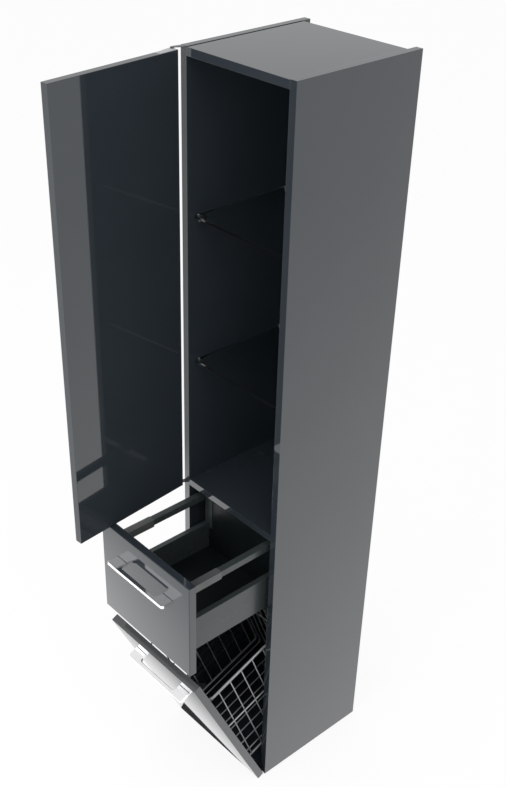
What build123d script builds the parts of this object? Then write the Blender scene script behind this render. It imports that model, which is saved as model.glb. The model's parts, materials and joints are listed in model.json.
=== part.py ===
from build123d import *
import os
from math import cos, radians, sin

os.makedirs("parts", exist_ok=True)

# The origin is on the wall plane, at mid-width, level with the underside of the cabinet.
# X runs to the right, Y towards the wall and Z up. The front edges of the boards face -Y.

# Cabinet boards
cabinet_width = 300.0
cabinet_depth = 312.0
cabinet_height = 1690.0
board = 16.0
top_step = 1.0
rear_recess = 20.0
back_board = 3.0
groove_depth = 6.0
back_play = 0.5
shelf_top = 735.0

# Fronts
front_board = 18.0
front_width = 296.0
front_gap = 2.0
outer_round = 2.0
inner_round = 0.5
front_joint = 3.0
flap_low = 3.0
flap_high = 483.0
drawer_front_high = 726.0
top_reveal = 2.0

# Pose in which the fronts stand open
door_angle = 85.34
flap_angle = 25.0

# Board fittings
dowel_radius = 4.0
dowel_length = 30.0
dowel_in_side = 10.0
cam_radius = 7.5
cam_height = 12.5
cam_setback = 24.0
cam_neck_radius = 3.0
cam_slot_width = 1.6
cam_slot_depth = 2.5
cam_bolt_radius = 2.5
cam_bolt_in_side = 11.0
cam_edge_distance = 50.0
dowel_cam_spacing = 32.0
fitting_play = 0.05

# Glass shelves and their supports
glass = 6.0
lower_glass_level = 1034.0
upper_glass_level = 1358.0
glass_side_gap = 2.0
glass_front_setback = 17.0
glass_rear_gap = 2.0
support_pin_radius = 2.5
support_pin_in_side = 9.0
support_pad_length = 8.0
support_pad_width = 12.0
support_sheet = 2.0
support_drop = 9.0
support_setback = 18.0
glass_edge = 0.5

# Pivot hinges of the door
pivot_outset = 0.2
pivot_forward = 20.7
hinge_sheet = 1.5
pivot_pin_radius = 1.5
pivot_ear_radius = 3.0
bracket_width = 13.0
bracket_height = 34.0
bracket_inset = 1.5
bracket_screw_spacing = 16.0
top_tab_gap = 0.3
bottom_tab_gap = 0.4
leaf_sheet = 2.0
leaf_length = 40.0
leaf_width = 12.0
leaf_inset = 2.0
leaf_play = 0.1
pin_reach = 0.5
press_play = 0.02
running_play = 0.05

# Countersunk screws
screw_radius = 1.5
screw_head_radius = 3.0
screw_length = 16.0
screw_play = 0.05

# Bow handles
handle_length = 190.0
handle_projection = 29.0
handle_height = 7.0
handle_bar = 10.0
handle_foot = 34.0
handle_corner = 6.0
handle_inner_corner = 8.0
handle_edge = 0.8
stud_radius = 1.75
stud_in_front = 12.0
stud_in_handle = 12.0
stud_play = 0.05
door_handle_edge_distance = 60.0
door_handle_level = 1000.0
drawer_handle_drop = 68.5
flap_handle_drop = 74.5

# Drawer
runner_space = 13.0
drawer_side_width = 12.5
drawer_side_sheet = 1.0
drawer_side_fold = 0.8
drawer_side_rise = 35.0
drawer_side_height = 86.0
drawer_length = 270.0
drawer_board = 16.0
drawer_ledge = 12.0
drawer_back_drop = 29.0
rail_tube = 15.0
rail_wall = 1.2
sleeve_length = 91.0
sleeve_width = 17.5
sleeve_height = 18.6
sleeve_rise = 0.6
bracket_leg = 24.0
rear_bracket_sheet = 1.5
rear_bracket_overlap = 13.0
fixing_length = 22.0
fixing_height = 48.0
fixing_edge = 1.0
fixing_top_gap = 4.0
fixing_play = 0.1

# Roller runners
roller_radius = 9.0
roller_width = 6.0
roller_play = 0.3
axle_radius = 2.0
axle_head = 1.2
axle_head_radius = 3.0
runner_sheet = 1.5
runner_drop = 4.8
runner_wall_leg = 45.0
runner_front_setback = 2.0
runner_rear_setback = 10.0
front_roller_setback = 12.0
rear_roller_setback = 23.0
roller_stop_gap = 1.0
ear_margin = 7.0
front_ear_gap = 0.9
runner_screw_level = 30.0
runner_screw_margin = 36.0

# Butt hinges of the flap
flap_axis_forward = 3.5
flap_axis_level = -0.5
flap_hinge_offset = 95.0
flap_hinge_length = 50.0
knuckle_radius = 2.75
knuckle_gap = 0.2
knuckle_notch = 0.35
flap_pin_radius = 1.4
flap_leaf_sheet = 1.5
flap_base_depth = 25.0
flap_leaf_depth = 15.0
flap_screw_spacing = 32.0

# Limit arm of the flap
limit_radius = 70.0
limit_stud_angle = 50.0
limit_width = 16.0
limit_sheet = 2.0
limit_stud_radius = 3.0
limit_head_radius = 5.0
limit_slot_play = 0.3
limit_side_gap = 3.0
limit_flange = 14.0
limit_flange_height = 32.0
screw_edge = 5.0

# Wire basket, in its own plane, which leans a little back from the flap
basket_lean = 3.9
basket_half_width = 112.0
basket_front_gap = 1.2
basket_back = 245.0
basket_low = 49.0
basket_rim = 355.5
basket_band = 224.0
frame_wire = 2.5
thin_wire = 1.5
band_wire = 1.75
weld_gap = 0.05
frame_bend = 7.0
rim_bend = 12.0
side_wire_first = 11.0
side_wire_spacing = 35.5
side_wire_count = 7
floor_wire_spacing = 24.4
floor_wire_count = 9
clip_offset = 85.4
clip_width = 16.0
clip_height = 36.0
clip_sheet = 1.5
clip_play = 0.3
buffer_radius = 7.0
buffer_level = 85.0
buffer_play = 0.2

# Wall hangers in the recess behind the back panel
hanger_width = 26.0
hanger_height = 60.0
hanger_depth = 16.0
hanger_drop = 70.0
hanger_edge = 1.0
hanger_hook_width = 14.0
hanger_hook_sheet = 3.0
hanger_tip = 1.5
hanger_hook_rise = 14.0
adjuster_radius = 4.0

# Derived places
half_width = cabinet_width / 2
inner_half = half_width - board
front_edge = -cabinet_depth
front_inner = front_edge - front_gap
front_outer = front_inner - front_board
back_outer = -rear_recess
back_inner = back_outer - back_board
back_low = board - groove_depth
top_high = cabinet_height - top_step
back_high = top_high - board + groove_depth
hanger_level = cabinet_height - hanger_drop
drawer_front_low = flap_high + front_joint
door_low = drawer_front_high + front_joint
door_high = cabinet_height - top_reveal
pivot_x = -half_width + pivot_outset
pivot_y = front_edge - pivot_forward
flap_axis_y = front_edge - flap_axis_forward
drawer_side_outer = inner_half - runner_space
drawer_side_inner = drawer_side_outer - drawer_side_width
drawer_side_low = drawer_front_low + drawer_side_rise
drawer_side_high = drawer_side_low + drawer_side_height
drawer_back_high = drawer_front_high - drawer_back_drop
drawer_rear = front_inner + drawer_length
front_roller_y = front_edge + front_roller_setback
rear_roller_y = drawer_rear - rear_roller_setback
drawer_travel = rear_roller_y - front_roller_y - 2 * roller_radius - roller_stop_gap
lean = radians(basket_lean)
sides = (-1, 1)

# Open poses of the three moving fronts: the drawer stops where its rear rollers meet the
# front rollers.
door_open = Pos(pivot_x, pivot_y, 0) * Rot(0, 0, -door_angle) * Pos(-pivot_x, -pivot_y, 0)
drawer_open = Pos(0, -drawer_travel, 0)
flap_open = (
    Pos(0, flap_axis_y, flap_axis_level)
    * Rot(flap_angle, 0, 0)
    * Pos(0, -flap_axis_y, -flap_axis_level)
)
closed = Pos(0, 0, 0)


def write_piece(piece, name, pose=closed):
    placed = pose * piece
    placed.label = name
    export_step(placed, f"parts/{name}.step")


def screw_form(radius, head_radius, length, mode=Mode.ADD):
    # A countersunk screw whose head ends at the local origin and points along +Z.
    flush_top = (Align.CENTER, Align.CENTER, Align.MAX)
    Cone(radius, head_radius, head_radius - radius, align=flush_top, mode=mode)
    Cylinder(radius, length, align=flush_top, mode=mode)


# Joint places of the three horizontal boards along the side panels
board_levels = {
    "bottom": board / 2,
    "shelf": shelf_top - board / 2,
    "top": top_high - board / 2,
}
# The cams are let in from below at -1 and from above at 1.
cam_faces = {"bottom": 1, "shelf": -1, "top": -1}
cam_places = (front_edge + cam_edge_distance, back_inner - cam_edge_distance)
dowel_places = (cam_places[0] + dowel_cam_spacing, cam_places[1] - dowel_cam_spacing)

# Glass shelf places
glass_front = front_edge + glass_front_setback
glass_back = back_inner - glass_rear_gap
glass_half = inner_half - glass_side_gap
support_places = (glass_front + support_setback, glass_back - support_setback)
glass_levels = {"lower": lower_glass_level, "upper": upper_glass_level}

# Door bracket levels: the tab of each bracket lies in the gap beside the door's end
top_tab_low = door_high + top_tab_gap
bottom_tab_low = drawer_front_high + bottom_tab_gap
bracket_x = -half_width + bracket_inset + bracket_width / 2
bracket_legs = {
    "top": (top_tab_low + hinge_sheet - bracket_height, top_tab_low + hinge_sheet),
    "bottom": (bottom_tab_low, bottom_tab_low + bracket_height),
}
leg_plane = Plane.XZ.offset(-front_edge)


def bracket_screw_places(leg):
    middle = (leg[0] + leg[1]) / 2
    return [(bracket_x, front_edge, middle + step * bracket_screw_spacing / 2) for step in sides]


# Runner levels and places
web_top = drawer_side_low - runner_drop
roller_level = web_top + roller_radius + roller_play
strip_low = roller_level + roller_radius + roller_play
runner_front = front_edge + runner_front_setback
runner_rear = drawer_rear - runner_rear_setback
hollow_middle = drawer_side_outer - drawer_side_width / 2
runner_screw_places = (
    runner_front + runner_screw_margin,
    (runner_front + runner_rear) / 2,
    runner_rear - runner_screw_margin,
)
runner_screw_z = web_top + runner_screw_level

# Place of the limit stud on the left side panel
stud_y = flap_axis_y + limit_radius * cos(radians(limit_stud_angle))
stud_z = flap_axis_level + limit_radius * sin(radians(limit_stud_angle))
arm_outer = -inner_half + limit_side_gap


def make_side_panel(side):
    with BuildPart() as panel:
        with Locations((side * (inner_half + board / 2), front_edge / 2, cabinet_height / 2)):
            Box(board, cabinet_depth, cabinet_height)
        with BuildSketch(Plane.YZ.offset(side * inner_half)):
            with Locations((back_outer - back_board / 2, (back_low + back_high) / 2)):
                Rectangle(back_board, back_high - back_low)
        extrude(amount=side * groove_depth, mode=Mode.SUBTRACT)
        with BuildSketch(Plane.YZ.offset(side * inner_half)):
            for level in board_levels.values():
                with Locations(*[(y, level) for y in dowel_places]):
                    Circle(dowel_radius + fitting_play)
        extrude(amount=side * dowel_in_side, mode=Mode.SUBTRACT)
        with BuildSketch(Plane.YZ.offset(side * inner_half)):
            for level in board_levels.values():
                with Locations(*[(y, level) for y in cam_places]):
                    Circle(cam_bolt_radius + fitting_play)
        extrude(amount=side * cam_bolt_in_side, mode=Mode.SUBTRACT)
        with BuildSketch(Plane.YZ.offset(side * inner_half)):
            for level in glass_levels.values():
                with Locations(*[(y, level - support_drop) for y in support_places]):
                    Circle(support_pin_radius + fitting_play)
        extrude(amount=side * support_pin_in_side, mode=Mode.SUBTRACT)
        with BuildSketch(Plane.YZ.offset(side * inner_half)):
            with Locations(*[(y, runner_screw_z) for y in runner_screw_places]):
                Circle(screw_radius + screw_play)
        extrude(amount=side * (screw_length - runner_sheet), mode=Mode.SUBTRACT)
        if side < 0:
            # Rebates and screw holes of the two door brackets, and the hole of the limit stud.
            for leg in bracket_legs.values():
                with BuildSketch(leg_plane):
                    with Locations((bracket_x, (leg[0] + leg[1]) / 2)):
                        Rectangle(bracket_width, leg[1] - leg[0])
                extrude(amount=-hinge_sheet, mode=Mode.SUBTRACT)
                with BuildSketch(leg_plane):
                    with Locations(*[(x, z) for x, y, z in bracket_screw_places(leg)]):
                        Circle(screw_radius + screw_play)
                extrude(amount=-screw_length, mode=Mode.SUBTRACT)
            with BuildSketch(Plane.YZ.offset(-inner_half)):
                with Locations((stud_y, stud_z)):
                    Circle(limit_stud_radius + fitting_play)
            extrude(amount=-dowel_in_side, mode=Mode.SUBTRACT)
    return panel.part


write_piece(make_side_panel(-1), "side_panel_left")
write_piece(make_side_panel(1), "side_panel_right")


def make_board(name, rear, rebate_face=0):
    level = board_levels[name]
    cam_face = cam_faces[name]
    with BuildPart() as piece:
        with Locations((0, (front_edge + rear) / 2, level)):
            Box(2 * inner_half, rear - front_edge, board)
        if rebate_face:
            with Locations((0, back_outer - back_board / 2, level + rebate_face * board / 2)):
                Box(2 * inner_half, back_board, 2 * groove_depth, mode=Mode.SUBTRACT)
        for side in sides:
            with BuildSketch(Plane.YZ.offset(side * inner_half)):
                with Locations(*[(y, level) for y in dowel_places]):
                    Circle(dowel_radius + fitting_play)
            extrude(amount=side * (dowel_in_side - dowel_length), mode=Mode.SUBTRACT)
            with BuildSketch(Plane.YZ.offset(side * inner_half)):
                with Locations(*[(y, level) for y in cam_places]):
                    Circle(cam_neck_radius + fitting_play)
            extrude(amount=-side * cam_setback, mode=Mode.SUBTRACT)
            with BuildSketch(Plane.XY.offset(level + cam_face * board / 2)):
                with Locations(*[(side * (inner_half - cam_setback), y) for y in cam_places]):
                    Circle(cam_radius + fitting_play)
            extrude(amount=-cam_face * cam_height, mode=Mode.SUBTRACT)
        if name == "bottom":
            for place in flap_base_screws:
                with Locations(place):
                    Cylinder(
                        screw_radius + screw_play,
                        screw_length - flap_leaf_sheet,
                        align=(Align.CENTER, Align.CENTER, Align.MIN),
                        mode=Mode.SUBTRACT,
                    )
    return piece.part


# Flap hinge places: two butt hinges under the lower edge of the flap
hinge_middles = [side * flap_hinge_offset for side in sides]
base_screw_y = front_edge + flap_base_depth / 2
flap_screw_y = front_inner - front_board / 2
flap_base_screws = [
    (x + step * flap_screw_spacing / 2, base_screw_y, 0) for x in hinge_middles for step in sides
]
flap_leaf_screws = [
    (x + step * flap_screw_spacing / 2, flap_screw_y, flap_low - flap_leaf_sheet)
    for x in hinge_middles
    for step in sides
]

# Basket directions: to its rear and up along its sides, from the hinge axis of the flap
back_way = Vector(0, cos(lean), -sin(lean))
up_way = Vector(0, sin(lean), cos(lean))
basket_root = Vector(0, flap_axis_y, flap_axis_level)


def front_place(level, out=0.0):
    # The front stands parallel to the flap, so it leans forward in the basket's own plane.
    wire = front_inner - flap_axis_y + basket_front_gap + frame_wire - out
    return (wire - level * sin(lean)) / cos(lean)


# The clips on the flap reach under the front run of the rim and behind it.
rim_front = basket_root + back_way * front_place(basket_rim) + up_way * basket_rim
tongue_high = rim_front.Z - frame_wire - clip_play
lip_front = rim_front.Y + frame_wire + clip_play

# Screws through the plates on the flap's inner face: limit arm and basket clips
flap_face_screws = [
    (arm_outer + limit_flange - screw_edge, front_inner + limit_sheet, stud_z + offset)
    for offset in (-limit_flange_height / 4, limit_flange_height / 4)
] + [
    (side * clip_offset, front_inner + limit_sheet, tongue_high - clip_height * share)
    for side in sides
    for share in (0.25, 0.75)
]

write_piece(make_board("top", back_outer, -1), "top_panel")
write_piece(make_board("shelf", back_inner), "middle_shelf")
write_piece(make_board("bottom", back_outer, 1), "bottom_panel")

# Back panel, with the holes through which the hangers are adjusted
hanger_x = inner_half - hanger_width / 2
adjuster_offsets = (-hanger_height / 4, hanger_height / 4)
with BuildPart() as back_panel:
    with Locations((0, back_outer - back_board / 2, (back_low + back_high) / 2)):
        Box(
            2 * (inner_half + groove_depth - back_play),
            back_board,
            back_high - back_low - 2 * back_play,
        )
    with BuildSketch(Plane.XZ.offset(-back_outer)):
        with Locations(
            *[(s * hanger_x, hanger_level + offset) for s in sides for offset in adjuster_offsets]
        ):
            Circle(adjuster_radius)
    extrude(amount=back_board, mode=Mode.SUBTRACT)
write_piece(back_panel.part, "back_panel")

with BuildPart() as panel_dowels:
    for side in sides:
        for level in board_levels.values():
            with BuildSketch(Plane.YZ.offset(side * (inner_half + dowel_in_side))):
                with Locations(*[(y, level) for y in dowel_places]):
                    Circle(dowel_radius)
            extrude(amount=-side * dowel_length)
write_piece(panel_dowels.part, "panel_dowels")

# Cam fittings: a cam flush in the board and a bolt from the side panel into it
with BuildPart() as cam_fittings:
    for name, cam_face in cam_faces.items():
        face = Plane.XY.offset(board_levels[name] + cam_face * board / 2)
        cams = [(side * (inner_half - cam_setback), y) for side in sides for y in cam_places]
        with BuildSketch(face):
            with Locations(*cams):
                Circle(cam_radius)
        extrude(amount=-cam_face * cam_height)
        with BuildSketch(face):
            with Locations(*cams):
                Rectangle(cam_radius, cam_slot_width)
                Rectangle(cam_slot_width, cam_radius)
        extrude(amount=-cam_face * cam_slot_depth, mode=Mode.SUBTRACT)
        for side in sides:
            with BuildSketch(Plane.YZ.offset(side * (inner_half + cam_bolt_in_side))):
                with Locations(*[(y, board_levels[name]) for y in cam_places]):
                    Circle(cam_bolt_radius)
            extrude(amount=-side * (cam_setback + cam_bolt_in_side))
write_piece(cam_fittings.part, "cam_fittings")

# Glass shelves
for name, level in glass_levels.items():
    with BuildPart() as glass_shelf:
        with Locations((0, (glass_front + glass_back) / 2, level + glass / 2)):
            Box(2 * glass_half, glass_back - glass_front, glass)
        chamfer(glass_shelf.edges(), glass_edge)
    write_piece(glass_shelf.part, f"glass_shelf_{name}")

# Supports: a pin in the side panel, a web and a pad under the glass
support_web = support_drop + support_pin_radius
with BuildPart() as shelf_supports:
    for side in sides:
        for level in glass_levels.values():
            for y in support_places:
                with BuildSketch(Plane.YZ.offset(side * (inner_half + support_pin_in_side))):
                    with Locations((y, level - support_drop)):
                        Circle(support_pin_radius)
                extrude(amount=-side * (support_pin_in_side + support_sheet))
                web = (side * (inner_half - support_sheet / 2), y, level - support_web / 2)
                with Locations(web):
                    Box(support_sheet, support_pad_width, support_web)
                pad = (side * (inner_half - support_pad_length / 2), y, level - support_sheet / 2)
                with Locations(pad):
                    Box(support_pad_length, support_pad_width, support_sheet)
write_piece(shelf_supports.part, "shelf_supports")


# Pivot brackets of the door: one leg let into the front edge, one tab reaching the pivot
def make_door_bracket(name, tab_low):
    leg = bracket_legs[name]
    with BuildPart() as bracket:
        with BuildSketch(leg_plane):
            with Locations((bracket_x, (leg[0] + leg[1]) / 2)):
                Rectangle(bracket_width, leg[1] - leg[0])
        extrude(amount=-hinge_sheet)
        with BuildSketch(Plane.XY.offset(tab_low)):
            with Locations((bracket_x, front_edge - hinge_sheet / 2)):
                Rectangle(bracket_width, hinge_sheet)
            with Locations((pivot_x, pivot_y)):
                Circle(pivot_ear_radius)
            make_hull()
        extrude(amount=hinge_sheet)
        with Locations((pivot_x, pivot_y, tab_low)):
            Cylinder(pivot_pin_radius + press_play, 4 * hinge_sheet, mode=Mode.SUBTRACT)
        for place in bracket_screw_places(leg):
            with Locations(Plane(place, x_dir=(1, 0, 0), z_dir=(0, -1, 0))):
                screw_form(
                    screw_radius + screw_play,
                    screw_head_radius + screw_play,
                    screw_length,
                    mode=Mode.SUBTRACT,
                )
    return bracket.part


write_piece(make_door_bracket("top", top_tab_low), "door_bracket_top")
write_piece(make_door_bracket("bottom", bottom_tab_low), "door_bracket_bottom")

with BuildPart() as door_bracket_screws:
    for leg in bracket_legs.values():
        for place in bracket_screw_places(leg):
            with Locations(Plane(place, x_dir=(1, 0, 0), z_dir=(0, -1, 0))):
                screw_form(screw_radius, screw_head_radius, screw_length)
write_piece(door_bracket_screws.part, "door_bracket_screws")

# Pivot pins, pressed into the tabs and running in the leaves of the door
pin_spans = {
    "top": (door_high - leaf_sheet - pin_reach, top_tab_low + hinge_sheet),
    "bottom": (bottom_tab_low, door_low + leaf_sheet + pin_reach),
}
with BuildPart() as door_pivot_pins:
    for low, high in pin_spans.values():
        with BuildSketch(Plane.XY.offset(low)):
            with Locations((pivot_x, pivot_y)):
                Circle(pivot_pin_radius)
        extrude(amount=high - low)
write_piece(door_pivot_pins.part, "door_pivot_pins")


# Door leaves, let into the ends of the door
leaf_x = -front_width / 2 + leaf_inset + leaf_length / 2
leaf_y = front_inner - front_board / 2
leaf_screw_places = [(leaf_x + step * leaf_length / 4, leaf_y) for step in sides]


def draw_leaf(grow=0.0):
    with Locations((leaf_x, leaf_y)):
        Rectangle(leaf_length + 2 * grow, leaf_width + 2 * grow)
    with Locations((pivot_x, pivot_y)):
        Circle(pivot_ear_radius + grow)
    make_hull()


def make_door_leaf(face, outward):
    # face is the level of the door's end and outward the direction it looks in.
    with BuildPart() as leaf:
        with BuildSketch(Plane.XY.offset(face)):
            draw_leaf()
        extrude(amount=-outward * leaf_sheet)
        with Locations((pivot_x, pivot_y, face)):
            Cylinder(pivot_pin_radius + running_play, 4 * leaf_sheet, mode=Mode.SUBTRACT)
        for x, y in leaf_screw_places:
            with Locations(Plane((x, y, face), x_dir=(1, 0, 0), z_dir=(0, 0, outward))):
                screw_form(
                    screw_radius + screw_play,
                    screw_head_radius + screw_play,
                    screw_length,
                    mode=Mode.SUBTRACT,
                )
    return leaf.part


write_piece(make_door_leaf(door_high, 1), "door_leaf_top", door_open)
write_piece(make_door_leaf(door_low, -1), "door_leaf_bottom", door_open)

with BuildPart() as door_leaf_screws:
    for face, outward in ((door_high, 1), (door_low, -1)):
        for x, y in leaf_screw_places:
            with Locations(Plane((x, y, face), x_dir=(1, 0, 0), z_dir=(0, 0, outward))):
                screw_form(screw_radius, screw_head_radius, screw_length)
write_piece(door_leaf_screws.part, "door_leaf_screws", door_open)

with BuildPart() as door_thrust_washer:
    with BuildSketch(Plane.XY.offset(bottom_tab_low + hinge_sheet)):
        with Locations((pivot_x, pivot_y)):
            Circle(pivot_ear_radius)
            Circle(pivot_pin_radius + running_play, mode=Mode.SUBTRACT)
    extrude(amount=door_low - bottom_tab_low - hinge_sheet)
write_piece(door_thrust_washer.part, "door_thrust_washer")


# Fronts: a lacquered board with rounded edges, drilled for the studs of its handle
def make_front(low, high, stud_places):
    with BuildPart() as front:
        with BuildSketch(Plane.XZ.offset(-front_inner)):
            with Locations((0, (low + high) / 2)):
                Rectangle(front_width, high - low)
        extrude(amount=front_board)
        fillet(front.faces().sort_by(Axis.Y)[0].edges(), outer_round)
        fillet(front.faces().sort_by(Axis.Y)[-1].edges(), inner_round)
        with BuildSketch(Plane.XZ.offset(-front_outer)):
            with Locations(*stud_places):
                Circle(stud_radius + stud_play)
        extrude(amount=-stud_in_front, mode=Mode.SUBTRACT)
    return front


stud_offset = (handle_length - handle_foot) / 2
door_handle_x = front_width / 2 - door_handle_edge_distance
drawer_handle_z = drawer_front_high - drawer_handle_drop
flap_handle_z = flap_high - flap_handle_drop
door_studs = [(door_handle_x, door_handle_level + s * stud_offset) for s in sides]
drawer_studs = [(s * stud_offset, drawer_handle_z) for s in sides]
flap_studs = [(s * stud_offset, flap_handle_z) for s in sides]

with BuildPart() as door_panel:
    add(make_front(door_low, door_high, door_studs).part)
    for face, outward in ((door_high, 1), (door_low, -1)):
        with BuildSketch(Plane.XY.offset(face)):
            draw_leaf(leaf_play)
        extrude(amount=-outward * leaf_sheet, mode=Mode.SUBTRACT)
        with BuildSketch(Plane.XY.offset(face)):
            with Locations(*leaf_screw_places):
                Circle(screw_radius + screw_play)
        extrude(amount=-outward * screw_length, mode=Mode.SUBTRACT)
write_piece(door_panel.part, "door_panel", door_open)

with BuildPart() as drawer_front:
    add(make_front(drawer_front_low, drawer_front_high, drawer_studs).part)
write_piece(drawer_front.part, "drawer_front", drawer_open)

with BuildPart() as flap_panel:
    add(make_front(flap_low, flap_high, flap_studs).part)
    for x, y, z in flap_leaf_screws:
        with Locations((x, y, flap_low)):
            Cylinder(
                screw_radius + screw_play,
                screw_length - flap_leaf_sheet,
                align=(Align.CENTER, Align.CENTER, Align.MIN),
                mode=Mode.SUBTRACT,
            )
    with BuildSketch(Plane.XZ.offset(-front_inner)):
        with Locations(*[(x, z) for x, y, z in flap_face_screws]):
            Circle(screw_radius + screw_play)
    extrude(amount=screw_length - limit_sheet, mode=Mode.SUBTRACT)
write_piece(flap_panel.part, "flap_panel", flap_open)


# Bow handles: a flat bar on two broad feet, fixed on blind studs
def make_handle(middle, along):
    across = Vector(along).cross(Vector(0, -1, 0))
    profile_plane = Plane(middle, x_dir=along, z_dir=across)
    gap_depth = handle_projection - handle_bar
    gap_length = handle_length - 2 * handle_foot
    with BuildPart() as handle:
        with BuildSketch(profile_plane) as profile:
            with BuildLine():
                Polyline(
                    (-handle_length / 2, 0),
                    (-handle_length / 2, handle_projection),
                    (handle_length / 2, handle_projection),
                    (handle_length / 2, 0),
                    (gap_length / 2, 0),
                    (gap_length / 2, gap_depth),
                    (-gap_length / 2, gap_depth),
                    (-gap_length / 2, 0),
                    close=True,
                )
            make_face()
            fillet(profile.vertices().group_by(Axis.Y)[1], handle_inner_corner)
            fillet(profile.vertices().group_by(Axis.Y)[-1], handle_corner)
        extrude(amount=handle_height / 2, both=True)
        fillet(handle.faces().filter_by(Axis(middle, across)).edges(), handle_edge)
        with BuildSketch(Plane(middle, x_dir=along, z_dir=(0, -1, 0))):
            with Locations((-stud_offset, 0), (stud_offset, 0)):
                Circle(stud_radius + stud_play)
        extrude(amount=stud_in_handle, mode=Mode.SUBTRACT)
    return handle.part


def make_studs(places):
    with BuildPart() as studs:
        with BuildSketch(Plane.XZ.offset(-front_outer - stud_in_front)):
            with Locations(*places):
                Circle(stud_radius)
        extrude(amount=stud_in_front + stud_in_handle)
    return studs.part


door_handle = make_handle((door_handle_x, front_outer, door_handle_level), (0, 0, 1))
drawer_handle = make_handle((0, front_outer, drawer_handle_z), (1, 0, 0))
flap_handle = make_handle((0, front_outer, flap_handle_z), (1, 0, 0))
write_piece(door_handle, "door_handle", door_open)
write_piece(drawer_handle, "drawer_handle", drawer_open)
write_piece(flap_handle, "flap_handle", flap_open)
write_piece(make_studs(door_studs), "door_handle_studs", door_open)
write_piece(make_studs(drawer_studs), "drawer_handle_studs", drawer_open)
write_piece(make_studs(flap_studs), "flap_handle_studs", flap_open)


# Drawer sides: a folded steel section, open below, with a ledge that carries the bottom
def make_drawer_side(side):
    outer = side * drawer_side_outer
    sheet = side * drawer_side_sheet
    inner = side * drawer_side_inner
    ledge = inner - side * drawer_ledge
    with BuildPart() as drawer_side:
        with BuildSketch(Plane.XZ.offset(-front_inner)):
            with BuildLine():
                Polyline(
                    (outer, drawer_side_low),
                    (outer, drawer_side_high),
                    (inner, drawer_side_high),
                    (inner, drawer_side_low + drawer_side_sheet),
                    (ledge, drawer_side_low + drawer_side_sheet),
                    (ledge, drawer_side_low),
                    (inner + sheet, drawer_side_low),
                    (inner + sheet, drawer_side_high - drawer_side_sheet),
                    (outer - sheet, drawer_side_high - drawer_side_sheet),
                    (outer - sheet, drawer_side_low),
                    close=True,
                )
            make_face()
        extrude(amount=-drawer_length)
        fillet(drawer_side.edges().filter_by(Axis.Y).group_by(Axis.Z)[-1], drawer_side_fold)
    return drawer_side.part


write_piece(make_drawer_side(-1), "drawer_side_left", drawer_open)
write_piece(make_drawer_side(1), "drawer_side_right", drawer_open)

drawer_floor_low = drawer_side_low + drawer_side_sheet
drawer_floor_high = drawer_floor_low + drawer_board
drawer_back_front = drawer_rear - drawer_board
with BuildPart() as drawer_bottom:
    with BuildSketch(Plane.XY.offset(drawer_floor_low)):
        with Locations((0, (front_inner + drawer_rear) / 2)):
            Rectangle(2 * drawer_side_inner, drawer_length)
    extrude(amount=drawer_board)
write_piece(drawer_bottom.part, "drawer_bottom", drawer_open)

# The back stands on the bottom between the sides and widens above them
with BuildPart() as drawer_back:
    with BuildSketch(Plane.XZ.offset(-drawer_rear)):
        with Locations((0, (drawer_floor_high + drawer_back_high) / 2)):
            Rectangle(2 * drawer_side_inner, drawer_back_high - drawer_floor_high)
        with Locations((0, (drawer_side_high + drawer_back_high) / 2)):
            Rectangle(2 * drawer_side_outer, drawer_back_high - drawer_side_high)
    extrude(amount=drawer_board)
write_piece(drawer_back.part, "drawer_back", drawer_open)

# Gallery rails: square tubes from the front to the back of the drawer
rail_x = drawer_side_outer - rail_tube / 2
rail_z = drawer_back_high - rail_tube / 2
with BuildPart() as gallery_rails:
    with BuildSketch(Plane.XZ.offset(-drawer_back_front)):
        with Locations((-rail_x, rail_z), (rail_x, rail_z)):
            Rectangle(rail_tube, rail_tube)
            Rectangle(rail_tube - 2 * rail_wall, rail_tube - 2 * rail_wall, mode=Mode.SUBTRACT)
    extrude(amount=drawer_back_front - front_inner)
write_piece(gallery_rails.part, "gallery_rails", drawer_open)

sleeve_z = drawer_back_high + sleeve_rise - sleeve_height / 2
with BuildPart() as rail_sleeves:
    with BuildSketch(Plane.XZ.offset(-front_inner - sleeve_length)):
        with Locations((-rail_x, sleeve_z), (rail_x, sleeve_z)):
            Rectangle(sleeve_width, sleeve_height)
        with Locations((-rail_x, rail_z), (rail_x, rail_z)):
            Rectangle(rail_tube, rail_tube, mode=Mode.SUBTRACT)
    extrude(amount=sleeve_length)
write_piece(rail_sleeves.part, "rail_sleeves", drawer_open)

# Rear brackets: a plate on the face of the back, reaching down beside each drawer side
rear_bracket_low = drawer_side_high - rear_bracket_overlap
with BuildPart() as drawer_rear_brackets:
    with BuildSketch(Plane.XZ.offset(-drawer_back_front)):
        for side in sides:
            bracket_high = drawer_back_high - rail_tube
            with Locations(
                (side * (drawer_side_outer - bracket_leg / 2), (drawer_side_high + bracket_high) / 2)
            ):
                Rectangle(bracket_leg, bracket_high - drawer_side_high)
            tail = bracket_leg - drawer_side_width
            with Locations(
                (
                    side * (drawer_side_inner - tail / 2),
                    (rear_bracket_low + drawer_side_high) / 2,
                )
            ):
                Rectangle(tail, drawer_side_high - rear_bracket_low)
    extrude(amount=rear_bracket_sheet)
write_piece(drawer_rear_brackets.part, "drawer_rear_brackets", drawer_open)

# Front fixings: blocks inside the sides, against the drawer front
fixing_width = drawer_side_width - 2 * drawer_side_sheet - 2 * fixing_play
fixing_high = drawer_side_high - drawer_side_sheet - fixing_top_gap
with BuildPart() as drawer_front_fixings:
    for side in sides:
        with Locations(
            (side * hollow_middle, front_inner + fixing_length / 2, fixing_high - fixing_height / 2)
        ):
            Box(fixing_width, fixing_length, fixing_height)
    chamfer(drawer_front_fixings.edges().filter_by(Axis.Y), fixing_edge)
write_piece(drawer_front_fixings.part, "drawer_front_fixings", drawer_open)


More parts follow.
